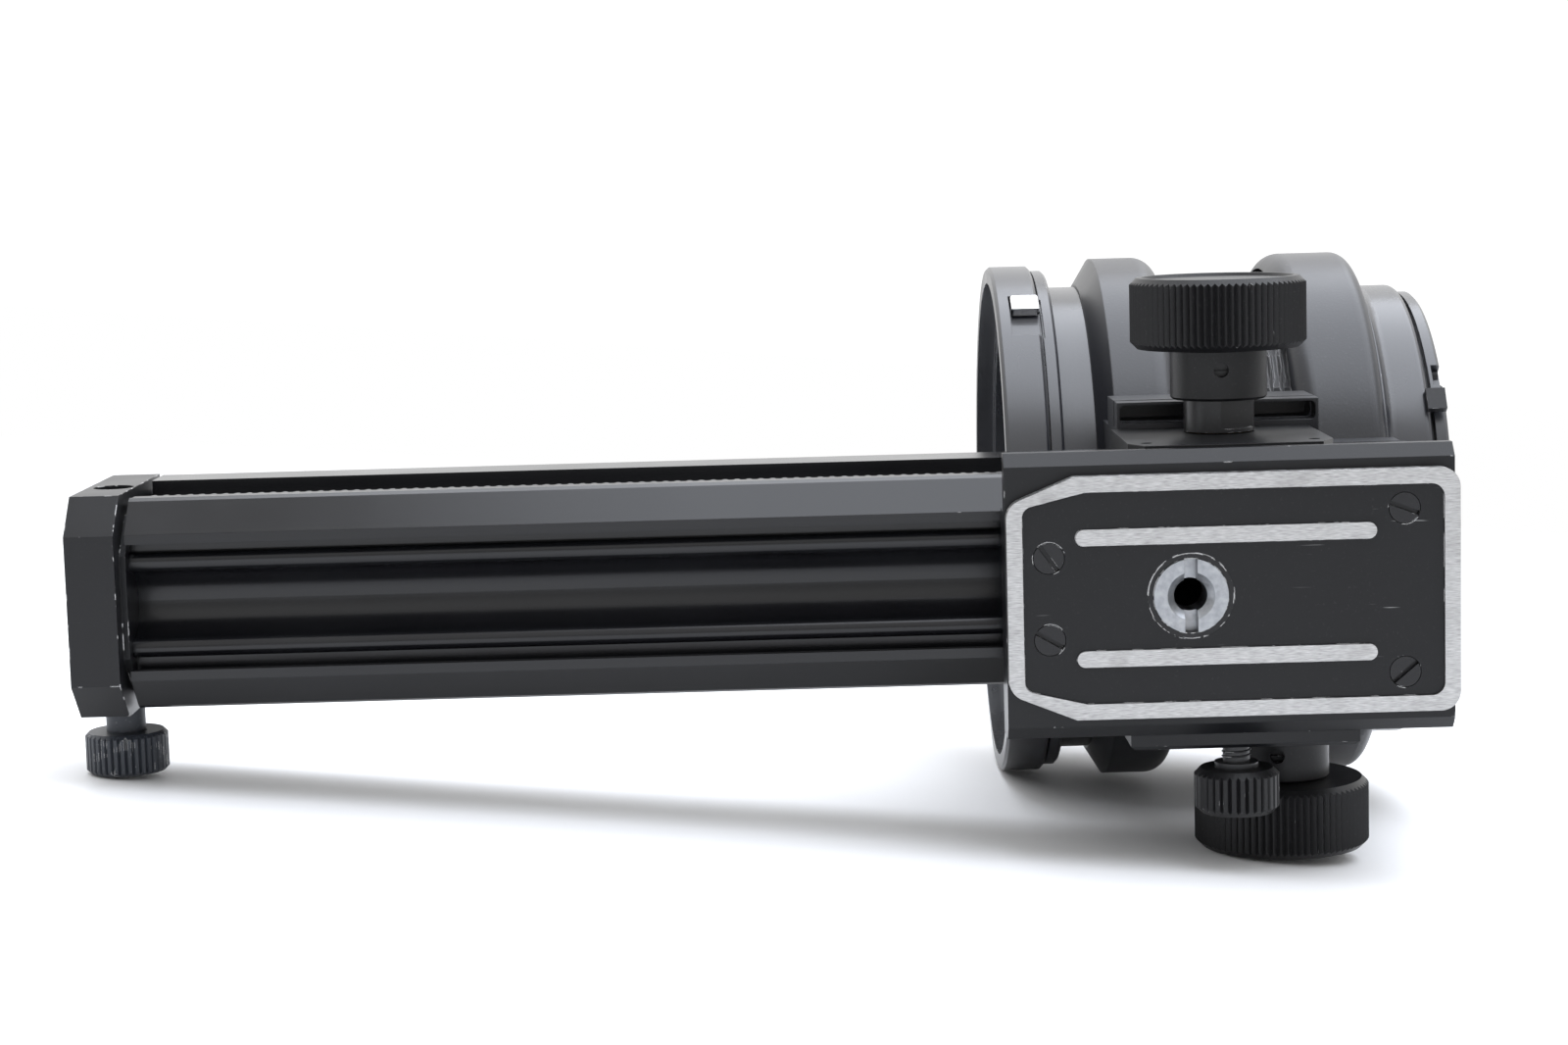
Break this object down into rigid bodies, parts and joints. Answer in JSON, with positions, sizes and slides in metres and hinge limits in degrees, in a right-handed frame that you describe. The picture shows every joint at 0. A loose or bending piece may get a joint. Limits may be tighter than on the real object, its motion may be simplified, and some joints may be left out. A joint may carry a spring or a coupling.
{
  "type": "bellows focusing rail",
  "caption": "Camera bellows unit on a geared monorail slider with knurled drive knobs, tripod block, lens ring and end cap.",
  "frame": {"origin": "mouth of the thread of the tripod socket, on the socket axis, 1.2 mm behind the outer face of the tripod plate", "axes": "-Y points out of the tripod socket, +X runs along the rail away from the end cap, +Z is parallel to the knob axes"},
  "size_m": [0.2279, 0.1449, 0.0938],
  "materials": {
    "rail_black": "satin black anodised extrusion",
    "rack_black": "blackened steel",
    "cap_black": "satin black anodised, chipped edges",
    "casting_black": "fine-textured black paint on a casting",
    "ring_black": "satin black anodised, turned",
    "block_black": "satin black anodised",
    "plate_metal": "brushed bare metal",
    "face_black": "worn black paint",
    "bright_chrome": "bright chrome",
    "seat_steel": "turned steel",
    "screw_black": "blackened steel",
    "knob_black": "black anodised, knurled",
    "shaft_black": "blackened steel",
    "thumb_grey": "worn blued steel, knurled",
    "bush_brass": "brass",
    "gib_plastic": "natural acetal",
    "bellows_cloth": "pleated black bellows cloth",
    "frame_black": "matt black"
  },
  "bodies": {
    "rail": {"rail_extrusion": "rail_black", "upper_rack": "rack_black", "lower_rack": "rack_black", "rack_screws": "screw_black", "end_cap": "cap_black", "end_cap_screws": "screw_black", "rear_casting": "casting_black", "rear_key": "casting_black", "rear_key_screw": "screw_black", "rear_barrel": "ring_black", "rear_mount_ring": "ring_black", "rear_ring_screws": "screw_black", "rear_latch": "screw_black", "rear_bellows_frame": "frame_black", "bellows": "bellows_cloth"},
    "tripod_block": {"tripod_plate": "plate_metal", "plate_face": "face_black", "plate_screws": "screw_black", "tripod_bush": "bright_chrome", "bush_seat_ring": "seat_steel", "base_plate": "block_black", "upper_gib": "gib_plastic", "lower_gib": "gib_plastic", "gib_screws": "screw_black", "lock_pad": "bush_brass", "lower_jaw": "block_black", "lower_bearing_plate": "block_black", "lower_plate_screws": "screw_black", "lower_bush": "bush_brass"},
    "lower_drive": {"lower_pinion": "shaft_black", "lower_hub": "knob_black", "lower_set_screw": "screw_black", "lower_knob": "knob_black"},
    "block_lock": {"lock_screw": "shaft_black", "lock_knob": "knob_black"},
    "front_standard": {"front_slider": "casting_black", "front_key": "casting_black", "front_key_screws": "screw_black", "upper_bearing_plate": "block_black", "upper_plate_screws": "screw_black", "upper_bush": "bush_brass", "front_casting": "casting_black", "front_casting_screws": "screw_black", "front_barrel": "ring_black", "front_ring": "ring_black", "second_ring": "ring_black", "lens_seat": "ring_black", "front_bellows_frame": "frame_black"},
    "upper_drive": {"upper_pinion": "shaft_black", "upper_hub": "knob_black", "upper_set_screw": "screw_black", "upper_knob": "knob_black"},
    "lens_lever": {"release_lever": "bright_chrome"},
    "rod_screw": {"thumb_screw_shaft": "thumb_grey", "thumb_screw_knob": "thumb_grey"}
  },
  "joints": [
    {"name": "block_slide", "type": "slide", "parent": "rail", "child": "tripod_block", "axis": [1, 0, 0], "range_m": [-0.134, 0]},
    {"name": "lower_knob_turn", "type": "hinge", "parent": "tripod_block", "child": "lower_drive", "pos_m": [0.01765, 0.0267, -0.036], "axis": [0, 0, 1], "range_deg": [0, 1165]},
    {"name": "lock_turn", "type": "hinge", "parent": "tripod_block", "child": "block_lock", "pos_m": [0.0077, 0.0071, -0.03], "axis": [0, 0, 1], "range_deg": [0, 180]},
    {"name": "front_slide", "type": "slide", "parent": "rail", "child": "front_standard", "axis": [1, 0, 0], "range_m": [-0.135, 0], "deforming": ["bellows"]},
    {"name": "upper_knob_turn", "type": "hinge", "parent": "front_standard", "child": "upper_drive", "pos_m": [0.00825, 0.0267, 0.04], "axis": [0, 0, 1], "range_deg": [0, 1175]},
    {"name": "lever_turn", "type": "hinge", "parent": "front_standard", "child": "lens_lever", "pos_m": [-0.018, 0.0968, 0.001], "axis": [1, 0, 0], "range_deg": [0, 8]},
    {"name": "rod_screw_turn", "type": "hinge", "parent": "rail", "child": "rod_screw", "pos_m": [-0.16905, 0.0258, -0.02], "axis": [0, 0, 1], "range_deg": [0, 720]}
  ],
  "couplings": [
    {"joint": "lower_knob_turn", "follows": "block_slide", "rad_per_m": -151.52},
    {"joint": "upper_knob_turn", "follows": "front_slide", "rad_per_m": -151.52}
  ]
}
